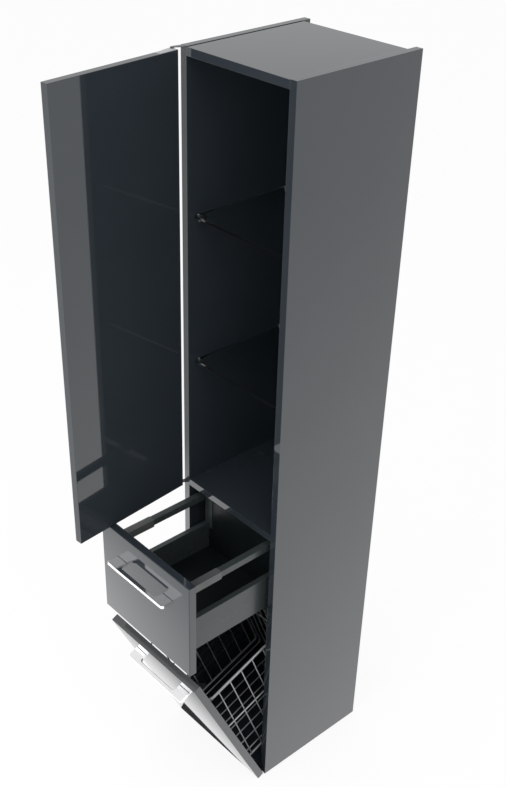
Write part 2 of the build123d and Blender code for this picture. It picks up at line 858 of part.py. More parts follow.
# Runner, cabinet member: a wall leg, a web under the drawer side and a roller ear
axle_stack = runner_sheet + roller_width + 2 * fitting_play + axle_head
front_ear_x = drawer_side_inner + drawer_side_sheet + front_ear_gap


def make_runner_rail(side):
    with BuildPart() as rail:
        with BuildSketch(Plane.XZ.offset(-runner_front)):
            with BuildLine():
                Polyline(
                    (side * inner_half, web_top - runner_sheet),
                    (side * front_ear_x, web_top - runner_sheet),
                    (side * front_ear_x, web_top),
                    (side * (inner_half - runner_sheet), web_top),
                    (side * (inner_half - runner_sheet), web_top + runner_wall_leg),
                    (side * inner_half, web_top + runner_wall_leg),
                    close=True,
                )
            make_face()
        extrude(amount=runner_front - runner_rear)
        with BuildSketch(Plane.YZ.offset(side * front_ear_x)):
            with Locations((front_roller_y, roller_level)):
                Circle(ear_margin)
            with Locations((front_roller_y, (web_top + roller_level) / 2)):
                Rectangle(2 * ear_margin, roller_level - web_top)
        extrude(amount=side * runner_sheet)
        with BuildSketch(Plane.YZ.offset(side * front_ear_x)):
            with Locations((front_roller_y, roller_level)):
                Circle(axle_radius)
        extrude(amount=side * axle_stack)
        with BuildSketch(Plane.YZ.offset(side * (front_ear_x + axle_stack - axle_head))):
            with Locations((front_roller_y, roller_level)):
                Circle(axle_head_radius)
        extrude(amount=side * axle_head)
        for y in runner_screw_places:
            seat = Plane(
                (side * (inner_half - runner_sheet), y, runner_screw_z),
                x_dir=(0, 1, 0),
                z_dir=(-side, 0, 0),
            )
            with Locations(seat):
                screw_form(
                    screw_radius + screw_play,
                    screw_head_radius + screw_play,
                    screw_length,
                    mode=Mode.SUBTRACT,
                )
    return rail.part


write_piece(make_runner_rail(-1), "runner_rail_left")
write_piece(make_runner_rail(1), "runner_rail_right")

with BuildPart() as runner_screws:
    for side in sides:
        for y in runner_screw_places:
            seat = Plane(
                (side * (inner_half - runner_sheet), y, runner_screw_z),
                x_dir=(0, 1, 0),
                z_dir=(-side, 0, 0),
            )
            with Locations(seat):
                screw_form(screw_radius, screw_head_radius, screw_length)
write_piece(runner_screws.part, "runner_screws")

# Runner, drawer member: a strip inside each side with a roller ear at its rear
rear_ear_x = drawer_side_outer - drawer_side_sheet - runner_sheet
with BuildPart() as drawer_runner_rails:
    for side in sides:
        strip_width = drawer_side_width - 2 * drawer_side_sheet
        with Locations(
            (side * hollow_middle, (front_inner + drawer_rear) / 2, strip_low + runner_sheet / 2)
        ):
            Box(strip_width, drawer_length, runner_sheet)
        with BuildSketch(Plane.YZ.offset(side * rear_ear_x)):
            with Locations((rear_roller_y, roller_level)):
                Circle(ear_margin)
            with Locations((rear_roller_y, (strip_low + roller_level) / 2)):
                Rectangle(2 * ear_margin, strip_low - roller_level)
        extrude(amount=side * runner_sheet)
        with BuildSketch(Plane.YZ.offset(side * (rear_ear_x + runner_sheet))):
            with Locations((rear_roller_y, roller_level)):
                Circle(axle_radius)
        extrude(amount=-side * axle_stack)
        with BuildSketch(
            Plane.YZ.offset(side * (rear_ear_x + runner_sheet - axle_stack + axle_head))
        ):
            with Locations((rear_roller_y, roller_level)):
                Circle(axle_head_radius)
        extrude(amount=-side * axle_head)
write_piece(drawer_runner_rails.part, "drawer_runner_rails", drawer_open)


def make_rollers(y, inner_faces):
    with BuildPart() as rollers:
        for side in sides:
            with BuildSketch(Plane.YZ.offset(side * inner_faces)):
                with Locations((y, roller_level)):
                    Circle(roller_radius)
                    Circle(axle_radius + running_play, mode=Mode.SUBTRACT)
            extrude(amount=side * roller_width)
    return rollers.part


front_rollers = make_rollers(front_roller_y, front_ear_x + runner_sheet + fitting_play)
rear_rollers = make_rollers(rear_roller_y, rear_ear_x - fitting_play - roller_width)
write_piece(front_rollers, "front_rollers")
write_piece(rear_rollers, "rear_rollers", drawer_open)


# Flap hinges: five knuckles on each pin, three on the base and two on the leaf
knuckle_length = flap_hinge_length / 5


def knuckle_spans(middle, on_leaf):
    first = middle - flap_hinge_length / 2
    picked = (1, 3) if on_leaf else (0, 2, 4)
    half_gap = knuckle_gap / 2
    return [
        (first + i * knuckle_length + half_gap, first + (i + 1) * knuckle_length - half_gap)
        for i in picked
    ]


def add_knuckle(low, high):
    with Locations(((low + high) / 2, flap_axis_y, flap_axis_level)):
        Cylinder(knuckle_radius, high - low, rotation=(0, 90, 0))


with BuildPart() as flap_hinge_bases:
    for middle in hinge_middles:
        plate_front = flap_axis_y + knuckle_radius + knuckle_notch
        plate_rear = front_edge + flap_base_depth
        with Locations((middle, (plate_front + plate_rear) / 2, -flap_leaf_sheet / 2)):
            Box(flap_hinge_length, plate_rear - plate_front, flap_leaf_sheet)
        for low, high in knuckle_spans(middle, False):
            add_knuckle(low, high)
            with Locations(
                ((low + high) / 2, (flap_axis_y + plate_front) / 2, -flap_leaf_sheet / 2)
            ):
                Box(high - low, plate_front - flap_axis_y, flap_leaf_sheet)
        with BuildSketch(Plane.YZ.offset(middle - flap_hinge_length)):
            with Locations((flap_axis_y, flap_axis_level)):
                Circle(flap_pin_radius + press_play)
        extrude(amount=2 * flap_hinge_length, mode=Mode.SUBTRACT)
    for x, y, z in flap_base_screws:
        with Locations(Plane((x, y, -flap_leaf_sheet), x_dir=(1, 0, 0), z_dir=(0, 0, -1))):
            screw_form(
                screw_radius + screw_play,
                screw_head_radius + screw_play,
                screw_length,
                mode=Mode.SUBTRACT,
            )
write_piece(flap_hinge_bases.part, "flap_hinge_bases")

with BuildPart() as flap_base_screw_set:
    for x, y, z in flap_base_screws:
        with Locations(Plane((x, y, -flap_leaf_sheet), x_dir=(1, 0, 0), z_dir=(0, 0, -1))):
            screw_form(screw_radius, screw_head_radius, screw_length)
write_piece(flap_base_screw_set.part, "flap_base_screws")

with BuildPart() as flap_hinge_pins:
    for middle in hinge_middles:
        with BuildSketch(Plane.YZ.offset(middle - flap_hinge_length / 2)):
            with Locations((flap_axis_y, flap_axis_level)):
                Circle(flap_pin_radius)
        extrude(amount=flap_hinge_length)
write_piece(flap_hinge_pins.part, "flap_hinge_pins")

with BuildPart() as flap_hinge_leaves:
    for middle in hinge_middles:
        leaf_rear = flap_axis_y - knuckle_radius - knuckle_notch
        leaf_front = front_inner - flap_leaf_depth
        with Locations(
            (middle, (leaf_front + leaf_rear) / 2, flap_low - flap_leaf_sheet / 2)
        ):
            Box(flap_hinge_length, leaf_rear - leaf_front, flap_leaf_sheet)
        for low, high in knuckle_spans(middle, True):
            add_knuckle(low, high)
            with Locations(
                ((low + high) / 2, (flap_axis_y + leaf_rear) / 2, flap_low - flap_leaf_sheet / 2)
            ):
                Box(high - low, flap_axis_y - leaf_rear, flap_leaf_sheet)
        with BuildSketch(Plane.YZ.offset(middle - flap_hinge_length)):
            with Locations((flap_axis_y, flap_axis_level)):
                Circle(flap_pin_radius + running_play)
        extrude(amount=2 * flap_hinge_length, mode=Mode.SUBTRACT)
    for place in flap_leaf_screws:
        with Locations(Plane(place, x_dir=(1, 0, 0), z_dir=(0, 0, -1))):
            screw_form(
                screw_radius + screw_play,
                screw_head_radius + screw_play,
                screw_length,
                mode=Mode.SUBTRACT,
            )
write_piece(flap_hinge_leaves.part, "flap_hinge_leaves", flap_open)

with BuildPart() as flap_screws:
    for place in flap_leaf_screws:
        with Locations(Plane(place, x_dir=(1, 0, 0), z_dir=(0, 0, -1))):
            screw_form(screw_radius, screw_head_radius, screw_length)
    for place in flap_face_screws:
        with Locations(Plane(place, x_dir=(1, 0, 0), z_dir=(0, 1, 0))):
            screw_form(screw_radius, screw_head_radius, screw_length)
write_piece(flap_screws.part, "flap_screws", flap_open)

# Limit arm: a slot about the hinge axis stops the flap on a stud in the left side panel
slot_start = limit_stud_angle - flap_angle
with BuildPart() as flap_limit_arm:
    with BuildSketch(Plane.YZ.offset(arm_outer)):
        with BuildLine(mode=Mode.PRIVATE):
            slot_line = CenterArc(
                (flap_axis_y, flap_axis_level), limit_radius, slot_start, flap_angle
            )
        SlotArc(slot_line, limit_width)
        arm_end = slot_line @ 1
        with Locations(((front_inner + arm_end.X) / 2, arm_end.Y)):
            Rectangle(arm_end.X - front_inner, limit_width)
        SlotArc(slot_line, 2 * (limit_stud_radius + limit_slot_play), mode=Mode.SUBTRACT)
    extrude(amount=limit_sheet)
    with Locations(
        (
            arm_outer + limit_flange / 2,
            front_inner + limit_sheet / 2,
            arm_end.Y,
        )
    ):
        Box(limit_flange, limit_sheet, limit_flange_height)
    for place in flap_face_screws[:2]:
        with Locations(Plane(place, x_dir=(1, 0, 0), z_dir=(0, 1, 0))):
            screw_form(
                screw_radius + screw_play,
                screw_head_radius + screw_play,
                screw_length,
                mode=Mode.SUBTRACT,
            )
write_piece(flap_limit_arm.part, "flap_limit_arm", flap_open)

with BuildPart() as limit_stud:
    spans = (
        (-inner_half - dowel_in_side, arm_outer + limit_sheet + limit_slot_play, limit_stud_radius),
        (-inner_half, arm_outer - limit_slot_play, limit_head_radius),
        (
            arm_outer + limit_sheet + limit_slot_play,
            arm_outer + 2 * limit_sheet,
            limit_head_radius,
        ),
    )
    for low, high, radius in spans:
        with BuildSketch(Plane.YZ.offset(low)):
            with Locations((stud_y, stud_z)):
                Circle(radius)
        extrude(amount=high - low)
write_piece(limit_stud.part, "limit_stud")

# Wire basket
def basket_side_plane(x):
    # Local X runs to the rear of the basket and local Y up along its side.
    return Plane(basket_root + Vector(x, 0, 0), x_dir=back_way, z_dir=(1, 0, 0))


def basket_level_plane(level):
    # Local X runs to the right and local Y to the rear.
    return Plane(basket_root + up_way * level, x_dir=(1, 0, 0), z_dir=up_way)


def add_wire(path, radius):
    start = Plane(origin=path @ 0, z_dir=path % 0)
    with BuildSketch(start) as section:
        Circle(radius)
    sweep(section.sketch, path=path)


def u_wire(x, radius):
    # Down the front, along the floor and up the back, flush with the outside of the frame.
    out = frame_wire - radius
    low = basket_low - out
    top = basket_rim - frame_wire - weld_gap
    with BuildLine(basket_side_plane(x)) as line:
        FilletPolyline(
            (front_place(top, out), top),
            (front_place(low, out), low),
            (basket_back + out, low),
            (basket_back + out, top),
            radius=frame_bend,
        )
    add_wire(line.wire(), radius)


with BuildPart() as basket_rim_wire:
    near = front_place(basket_rim)
    with BuildLine(basket_level_plane(basket_rim)) as rim_line:
        FilletPolyline(
            (-basket_half_width, near),
            (basket_half_width, near),
            (basket_half_width, basket_back),
            (-basket_half_width, basket_back),
            radius=rim_bend,
            close=True,
        )
    add_wire(rim_line.wire(), frame_wire)
write_piece(basket_rim_wire.part, "basket_rim", flap_open)


def make_basket_side(side):
    # A bent frame wire with uprights welded to its lower run.
    x = side * (basket_half_width + frame_wire - thin_wire)
    with BuildPart() as basket_side:
        u_wire(side * basket_half_width, frame_wire)
        for i in range(side_wire_count):
            back = side_wire_first + i * side_wire_spacing
            foot = basket_root + back_way * back + up_way * (basket_low + thin_wire)
            with Locations(Plane(foot + Vector(x, 0, 0), x_dir=(1, 0, 0), z_dir=up_way)):
                Cylinder(
                    thin_wire,
                    basket_rim - frame_wire - basket_low - thin_wire,
                    align=(Align.CENTER, Align.CENTER, Align.MIN),
                )
    return basket_side.part


write_piece(make_basket_side(-1), "basket_side_left", flap_open)
write_piece(make_basket_side(1), "basket_side_right", flap_open)

with BuildPart() as basket_floor_wires:
    for i in range(floor_wire_count):
        u_wire((i - (floor_wire_count - 1) / 2) * floor_wire_spacing, thin_wire)
write_piece(basket_floor_wires.part, "basket_floor_wires", flap_open)

# The band runs round the sides and the back and ends beside the front legs of the frames.
with BuildPart() as basket_band_wire:
    out = frame_wire + weld_gap + band_wire
    half = basket_half_width + out
    near = front_place(basket_band)
    far = basket_back + out
    with BuildLine(basket_level_plane(basket_band)) as band_line:
        FilletPolyline((-half, near), (-half, far), (half, far), (half, near), radius=out)
    add_wire(band_line.wire(), band_wire)
write_piece(basket_band_wire.part, "basket_band", flap_open)

# Basket clips: a plate on the flap, a tongue under the rim and a lip behind it
with BuildPart() as basket_clips:
    for side in sides:
        with BuildSketch(Plane.YZ.offset(side * clip_offset - clip_width / 2)):
            with BuildLine():
                Polyline(
                    (front_inner, tongue_high),
                    (front_inner, tongue_high - clip_height),
                    (front_inner + limit_sheet, tongue_high - clip_height),
                    (front_inner + limit_sheet, tongue_high - clip_sheet),
                    (lip_front + clip_sheet, tongue_high - clip_sheet),
                    (lip_front + clip_sheet, rim_front.Z + frame_wire),
                    (lip_front, rim_front.Z + frame_wire),
                    (lip_front, tongue_high),
                    close=True,
                )
            make_face()
        extrude(amount=clip_width)
    for place in flap_face_screws[2:]:
        with Locations(Plane(place, x_dir=(1, 0, 0), z_dir=(0, 1, 0))):
            screw_form(
                screw_radius + screw_play,
                screw_head_radius + screw_play,
                screw_length,
                mode=Mode.SUBTRACT,
            )
write_piece(basket_clips.part, "basket_clips", flap_open)

# Thin buffers on the flap, in front of two legs of the floor wires
with BuildPart() as basket_buffers:
    with BuildSketch(Plane.XZ.offset(-front_inner)):
        for side in sides:
            with Locations((side * 2 * floor_wire_spacing, buffer_level)):
                Circle(buffer_radius)
    extrude(amount=buffer_play - basket_front_gap)
write_piece(basket_buffers.part, "basket_buffers", flap_open)

# Wall hangers: a housing in the rear recess and a hook that rises over a wall rail
with BuildPart() as hanger_housings:
    for side in sides:
        with Locations((side * hanger_x, back_outer + hanger_depth / 2, hanger_level)):
            Box(hanger_width, hanger_depth, hanger_height)
    chamfer(hanger_housings.edges().filter_by(Axis.Z), hanger_edge)
write_piece(hanger_housings.part, "hanger_housings")

with BuildPart() as hanger_hooks:
    for side in sides:
        foot_y = back_outer + hanger_depth
        with BuildSketch(Plane.YZ.offset(side * hanger_x - hanger_hook_width / 2)):
            with BuildLine():
                Polyline(
                    (foot_y, hanger_level),
                    (0, hanger_level),
                    (0, hanger_level + hanger_hook_rise),
                    (-hanger_tip, hanger_level + hanger_hook_rise),
                    (-hanger_tip, hanger_level + hanger_hook_sheet),
                    (foot_y, hanger_level + hanger_hook_sheet),
                    close=True,
                )
            make_face()
        extrude(amount=hanger_hook_width)
write_piece(hanger_hooks.part, "hanger_hooks")
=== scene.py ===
import json

import bpy
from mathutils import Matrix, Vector

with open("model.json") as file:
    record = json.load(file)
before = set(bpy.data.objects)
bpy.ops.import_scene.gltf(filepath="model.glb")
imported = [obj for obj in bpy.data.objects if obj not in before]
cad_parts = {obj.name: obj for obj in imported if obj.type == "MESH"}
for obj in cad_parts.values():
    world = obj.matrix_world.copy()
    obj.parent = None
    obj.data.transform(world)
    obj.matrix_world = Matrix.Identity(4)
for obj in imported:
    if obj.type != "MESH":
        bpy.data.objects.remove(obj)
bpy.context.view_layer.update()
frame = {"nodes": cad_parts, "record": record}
print("cabinet frame loaded")


# Camera, solved from the cabinet's own straight edges
photoView = {
    "place": (1.4542, -1.6162, 2.2209),
    "looksAlong": (-0.63921, 0.53876, -0.54877),
    "lens": 51.3375,
    "sensor": 36.0,
    "shiftX": 0.06611,
    "shiftY": 0.04389,
    "seesTo": 100,
}


def aim(thing, direction):
    thing.rotation_euler = Vector(direction).to_track_quat("-Z", "Y").to_euler()


cameraData = bpy.data.cameras.new("photoCamera")
cameraData.lens = photoView["lens"]
cameraData.sensor_width = photoView["sensor"]
cameraData.shift_x = photoView["shiftX"]
cameraData.shift_y = photoView["shiftY"]
cameraData.clip_end = photoView["seesTo"]
photoCamera = bpy.data.objects.new("photoCamera", cameraData)
photoCamera.location = photoView["place"]
aim(photoCamera, photoView["looksAlong"])
bpy.context.collection.objects.link(photoCamera)
bpy.context.scene.camera = photoCamera
bpy.context.scene.view_settings.view_transform = "Standard"
print("camera placed")


# The Mix node has several sockets of each name; these are the ones for colours
mixSockets = {"amount": 0, "first": 6, "second": 7, "result": 2}

# How edges are found and rounded in shading; turn is the cosine where an edge starts and ends
edgeReading = {"findSamples": 4, "roundSamples": 6, "turn": (0.72, 0.99)}


def reckon(nodes, links, operation, first, second):
    joined = nodes.new("ShaderNodeMath")
    joined.operation = operation
    for socket, value in zip(joined.inputs, (first, second)):
        if isinstance(value, float):
            socket.default_value = value
        else:
            links.new(value, socket)
    return joined.outputs["Value"]


# A new finish: its nodes, links and shader, and a coordinate in metres on the object
class Finish:
    def __init__(self, name):
        self.material = bpy.data.materials.new(name)
        self.material.use_nodes = True
        self.nodes = self.material.node_tree.nodes
        self.links = self.material.node_tree.links
        self.shader = self.nodes["Principled BSDF"]
        self.place = self.nodes.new("ShaderNodeTexCoord").outputs["Object"]

    def set(self, **values):
        for socket, value in values.items():
            self.shader.inputs[socket.replace("_", " ")].default_value = value

    def reckon(self, operation, first, second):
        return reckon(self.nodes, self.links, operation, first, second)

    def noise(self, scale, detail, stretch=None):
        noise = self.nodes.new("ShaderNodeTexNoise")
        noise.inputs["Scale"].default_value = scale
        noise.inputs["Detail"].default_value = detail
        place = self.place
        if stretch:
            mapping = self.nodes.new("ShaderNodeMapping")
            mapping.inputs["Scale"].default_value = stretch
            self.links.new(place, mapping.inputs["Vector"])
            place = mapping.outputs["Vector"]
        self.links.new(place, noise.inputs["Vector"])
        return noise.outputs["Fac"]

    def spread(self, value, low, high, start=0.3, end=0.7):
        # Start and end fit a noise, which seldom leaves that band
        spread = self.nodes.new("ShaderNodeMapRange")
        spread.inputs["From Min"].default_value = start
        spread.inputs["From Max"].default_value = end
        spread.inputs["To Min"].default_value = low
        spread.inputs["To Max"].default_value = high
        self.links.new(value, spread.inputs["Value"])
        return spread.outputs["Result"]

    def blend(self, amount, first, second):
        blend = self.nodes.new("ShaderNodeMix")
        blend.data_type = "RGBA"
        for socket, colour in ((mixSockets["first"], first), (mixSockets["second"], second)):
            if isinstance(colour, tuple):
                blend.inputs[socket].default_value = (*colour, 1)
            else:
                self.links.new(colour, blend.inputs[socket])
        self.links.new(amount, blend.inputs[mixSockets["amount"]])
        return blend.outputs[mixSockets["result"]]

    def mottle(self, first, second, noise):
        return self.blend(self.spread(self.noise(*noise), 0, 1), first, second)

    def edges(self, width):
        # 1 along the outer edges of a piece and 0 on its faces
        bevel = self.nodes.new("ShaderNodeBevel")
        bevel.samples = edgeReading["findSamples"]
        bevel.inputs["Radius"].default_value = width
        geometry = self.nodes.new("ShaderNodeNewGeometry")
        dot = self.nodes.new("ShaderNodeVectorMath")
        dot.operation = "DOT_PRODUCT"
        self.links.new(bevel.outputs["Normal"], dot.inputs[0])
        self.links.new(geometry.outputs["Normal"], dot.inputs[1])
        return self.spread(dot.outputs["Value"], 1.0, 0.0, *edgeReading["turn"])

    def soften(self, radius):
        bevel = self.nodes.new("ShaderNodeBevel")
        bevel.samples = edgeReading["roundSamples"]
        bevel.inputs["Radius"].default_value = radius
        return bevel.outputs["Normal"]

    def bump(self, height, strength, distance, normal=None):
        bump = self.nodes.new("ShaderNodeBump")
        bump.inputs["Strength"].default_value = strength
        bump.inputs["Distance"].default_value = distance
        self.links.new(height, bump.inputs["Height"])
        if normal:
            self.links.new(normal, bump.inputs["Normal"])
        self.links.new(bump.outputs["Normal"], self.shader.inputs["Normal"])

    def paint(self, colour):
        self.links.new(colour, self.shader.inputs["Base Color"])

    def roughen(self, rough, noise):
        self.links.new(self.spread(self.noise(*noise), *rough), self.shader.inputs["Roughness"])

    def shareOut(self, amount, first, second):
        share = self.nodes.new("ShaderNodeMixShader")
        self.links.new(amount, share.inputs["Fac"])
        self.links.new(first, share.inputs[1])
        self.links.new(second, share.inputs[2])
        return share.outputs["Shader"]


# Anthracite gloss lacquer of the boards and fronts; each noise is waves a metre and detail
lacquer = {
    "colour": (0.0185, 0.0240, 0.0295),
    "cloud": (0.0215, 0.0270, 0.0325),
    "cloudNoise": (6, 4),
    "edgeColour": (0.034, 0.039, 0.044),
    "edgeWear": 0.0009,
    "wearShare": (0.2, 0.9),
    "wearNoise": (45, 5),
    "rough": (0.015, 0.045),
    "roughNoise": (18, 3),
    "gloss": 1.5,
    "edgeRound": 0.0006,
    "peelNoise": (900, 2),
    "peelStrength": 0.25,
    "peelDepth": 0.00001,
    # A painted highlight: the flap's top edge, which looks up, is painted lighter
    "flapTopHighlight": (0.060, 0.062, 0.063),
    "topTurn": (0.6, 0.8),  # how far a face looks up before it takes the painted highlight of the top edge
}


def makeLacquer(name, topHighlight):
    finish = Finish(name)
    finish.set(IOR=lacquer["gloss"])
    base = finish.mottle(lacquer["colour"], lacquer["cloud"], lacquer["cloudNoise"])
    # Painted highlight: faces that look up take the lighter top-edge colour
    if topHighlight:
        facing = finish.nodes.new("ShaderNodeSeparateXYZ")
        normal = finish.nodes.new("ShaderNodeNewGeometry")
        finish.links.new(normal.outputs["True Normal"], facing.inputs["Vector"])
        upward = finish.spread(facing.outputs["Z"], 0, 1, *lacquer["topTurn"])
        base = finish.blend(upward, base, topHighlight)
    edge = finish.edges(lacquer["edgeWear"])
    patches = finish.spread(finish.noise(*lacquer["wearNoise"]), *lacquer["wearShare"])
    worn = finish.reckon("MULTIPLY", edge, patches)
    finish.paint(finish.blend(worn, base, lacquer["edgeColour"]))
    finish.roughen(lacquer["rough"], lacquer["roughNoise"])
    peel = finish.noise(*lacquer["peelNoise"])
    rounded = finish.soften(lacquer["edgeRound"])
    finish.bump(peel, lacquer["peelStrength"], lacquer["peelDepth"], rounded)
    return finish.material


# Bright metal of the handles, satin wire of the basket and plated shelf supports
brightMetals = {
    "handleChrome": {
        "colour": (0.91, 0.91, 0.92),
        "smudge": (0.85, 0.85, 0.86),
        "metallic": 1.0,
        "rough": (0.06, 0.12),
        "brushed": (1, 60, 60),
        "edgeRound": 0.0012,
    },
    "satinWire": {
        "colour": (0.35, 0.36, 0.37),
        "smudge": (0.30, 0.31, 0.32),
        "metallic": 0.55,
        "rough": (0.36, 0.44),
        "brushed": None,
        "edgeRound": 0.0004,
    },
    "supportChrome": {
        "colour": (0.45, 0.46, 0.47),
        "smudge": (0.38, 0.39, 0.40),
        "metallic": 1.0,
        "rough": (0.25, 0.35),
        "brushed": None,
        "edgeRound": 0.0004,
    },
}
metalGrain = {
    "smudgeNoise": (25, 4),
    "roughNoise": (60, 3),
    "grainNoise": (70, 3),
    "strength": 0.12,
    "depth": 0.00002,
}


def makeBrightMetal(name):
    look = brightMetals[name]
    finish = Finish(name)
    finish.set(Metallic=look["metallic"])
    finish.paint(finish.mottle(look["colour"], look["smudge"], metalGrain["smudgeNoise"]))
    finish.roughen(look["rough"], metalGrain["roughNoise"])
    grain = finish.noise(*metalGrain["grainNoise"], look["brushed"])
    rounded = finish.soften(look["edgeRound"])
    finish.bump(grain, metalGrain["strength"], metalGrain["depth"], rounded)
    return finish.material


# Zinc-plated steel of screws, hinges and pins
zinc = {
    "colour": (0.50, 0.51, 0.53),
    "dull": (0.40, 0.41, 0.42),
    "dullNoise": (300, 5),
    "edgeColour": (0.68, 0.68, 0.68),
    "edgeWear": 0.0004,
    "metallic": 1.0,
    "rough": (0.25, 0.42),
    "roughNoise": (160, 4),
    "edgeRound": 0.0002,
    "grainNoise": (900, 3),
    "grainStrength": 0.2,
    "grainDepth": 0.00002,
}


def makeZinc():
    finish = Finish("zincPlatedSteel")
    finish.set(Metallic=zinc["metallic"])
    base = finish.mottle(zinc["colour"], zinc["dull"], zinc["dullNoise"])
    finish.paint(finish.blend(finish.edges(zinc["edgeWear"]), base, zinc["edgeColour"]))
    finish.roughen(zinc["rough"], zinc["roughNoise"])
    grain = finish.noise(*zinc["grainNoise"])
    finish.bump(grain, zinc["grainStrength"], zinc["grainDepth"], finish.soften(zinc["edgeRound"]))
    return finish.material


# Painted, moulded and board finishes share one recipe
plainFinishes = {
    "greyPowderCoat": {
        "colour": (0.027, 0.033, 0.034),
        "cloud": (0.030, 0.036, 0.037),
        "edgeColour": (0.055, 0.061, 0.062),
        "sheen": 0.3,
        "rough": (0.26, 0.31),
        "grain": 1400,
        "depth": 0.00003,
    },
    "greyMoulded": {
        "colour": (0.050, 0.055, 0.055),
        "cloud": (0.060, 0.065, 0.064),
        "edgeColour": (0.08, 0.085, 0.085),
        "sheen": 0.5,
        "rough": (0.42, 0.55),
        "grain": 1100,
        "depth": 0.00004,
    },
    "whiteMoulded": {
        "colour": (0.78, 0.78, 0.76),
        "cloud": (0.72, 0.72, 0.70),
        "edgeColour": (0.85, 0.85, 0.84),
        "sheen": 0.5,
        "rough": (0.35, 0.5),
        "grain": 900,
        "depth": 0.00003,
    },
    "greyMelamine": {
        "colour": (0.0035, 0.0055, 0.0060),
        "cloud": (0.0050, 0.0070, 0.0075),
        "edgeColour": (0.014, 0.017, 0.018),
        "sheen": 0.25,
        "rough": (0.38, 0.46),
        "grain": 700,
        "depth": 0.00004,
    },
    "beechDowel": {
        "colour": (0.52, 0.36, 0.21),
        "cloud": (0.40, 0.26, 0.14),
        "edgeColour": (0.60, 0.45, 0.29),
        "sheen": 0.4,
        "rough": (0.5, 0.7),
        "grain": 500,
        "depth": 0.00006,
    },
}
plainRecipe = {
    "cloudNoise": (14, 4),
    "edgeWear": 0.0006,
    "roughNoise": (30, 2),
    "grainDetail": 2,
    "grainStrength": 0.1,
    "edgeRound": 0.0004,
}


def makePlain(name):
    look = plainFinishes[name]
    finish = Finish(name)
    finish.set(Specular_IOR_Level=look["sheen"])
    base = finish.mottle(look["colour"], look["cloud"], plainRecipe["cloudNoise"])
    finish.paint(finish.blend(finish.edges(plainRecipe["edgeWear"]), base, look["edgeColour"]))
    finish.roughen(look["rough"], plainRecipe["roughNoise"])
    grain = finish.noise(look["grain"], plainRecipe["grainDetail"])
    rounded = finish.soften(plainRecipe["edgeRound"])
    finish.bump(grain, plainRecipe["grainStrength"], look["depth"], rounded)
    return finish.material


# Clear glass of the shelves
glass = {
    "colour": (0.90, 0.95, 0.94),
    "smear": (0.84, 0.90, 0.89),
    "smearNoise": (9, 4),
    "refraction": 1.5,
    "clearness": 1.0,
    "rough": (0.0, 0.02),
    "roughNoise": (30, 3),
    "waveNoise": (200, 2),
    "waveStrength": 0.05,
    "waveDepth": 0.00001,
}


def makeGlass():
    finish = Finish("clearGlass")
    finish.set(IOR=glass["refraction"], Transmission_Weight=glass["clearness"])
    finish.paint(finish.mottle(glass["colour"], glass["smear"], glass["smearNoise"]))
    finish.roughen(glass["rough"], glass["roughNoise"])
    finish.bump(finish.noise(*glass["waveNoise"]), glass["waveStrength"], glass["waveDepth"])
    return finish.material


finishes = {
    "gloss_lacquer": makeLacquer("anthraciteLacquer", None),
    "bright_metal": makeBrightMetal("satinWire"),
    "steel": makeZinc(),
    "grey_coated_steel": makePlain("greyPowderCoat"),
    "clear_glass": makeGlass(),
    "grey_plastic": makePlain("greyMoulded"),
    "white_plastic": makePlain("whiteMoulded"),
    "grey_board": makePlain("greyMelamine"),
    "beech": makePlain("beechDowel"),
}
handleFinish = makeBrightMetal("handleChrome")
ownFinishes = {
    "flap_panel": makeLacquer("flapLacquerTopHighlight", lacquer["flapTopHighlight"]),
    "door_handle": handleFinish,
    "drawer_handle": handleFinish,
    "flap_handle": handleFinish,
    "shelf_supports": makeBrightMetal("supportChrome"),
}
print("finishes made")


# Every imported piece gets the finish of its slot, save the few that have their own
for part in frame["record"]["subparts"]:
    piece = frame["nodes"][part["node"]]
    piece.data.materials.clear()
    piece.data.materials.append(ownFinishes.get(part["node"], finishes[part["material_slot"]]))
print("finishes assigned")


# Floor: white to the camera and through glass, with a faint shadow, and a painted glow that only
# reflections see, with a painted pool of light and painted shade.
# Places and reaches are in metres, glows are strengths where 1 is white.
floorLook = {
    "level": -0.0045,  # just below the lowest point of the part
    "size": 40.0,
    "paint": (0.86, 0.86, 0.86),
    "rough": 0.8,
    "sheen": 0.0,
    "shadowShare": 0.12,
    # Painted light: glows that only reflections see, lit by no lamp
    "leftGlow": 1.23,
    "rightGlow": 1.66,
    "glowTurn": (-0.15, 0.15),
    "farShare": 0.88,  # the glow falls to this share far out on the right
    "farTurn": (0.5, 2.6),
    # A painted pool of light, an ellipse across x and y
    "poolPlace": (-1.14, -0.60),
    "poolGlow": 1.6,
    "poolReach": (0.7, 1.3),
    "poolStretch": 2.46,
    "poolPower": 1.24,
    # Painted shade on the strip below the open flap, weakest in front, on a slope across x and y
    "flapShadeGlow": (0.45, 1.2),
    "flapTurn": (-7.19, -6.44),
    "flapSlope": (-1.41, 19.03),
    "flapReach": (-0.42, -0.39),
    "shadeEnd": (0.149, 0.152),
    # A painted shadow: the dark wedge along the flap's foot
    "footStart": (-0.153, -0.150),
    "footPlace": -0.3384,
    "footSlant": 0.0658,
    "footSoft": (-0.0008, 0.0008),
    "footShadowDark": 0.03,
}


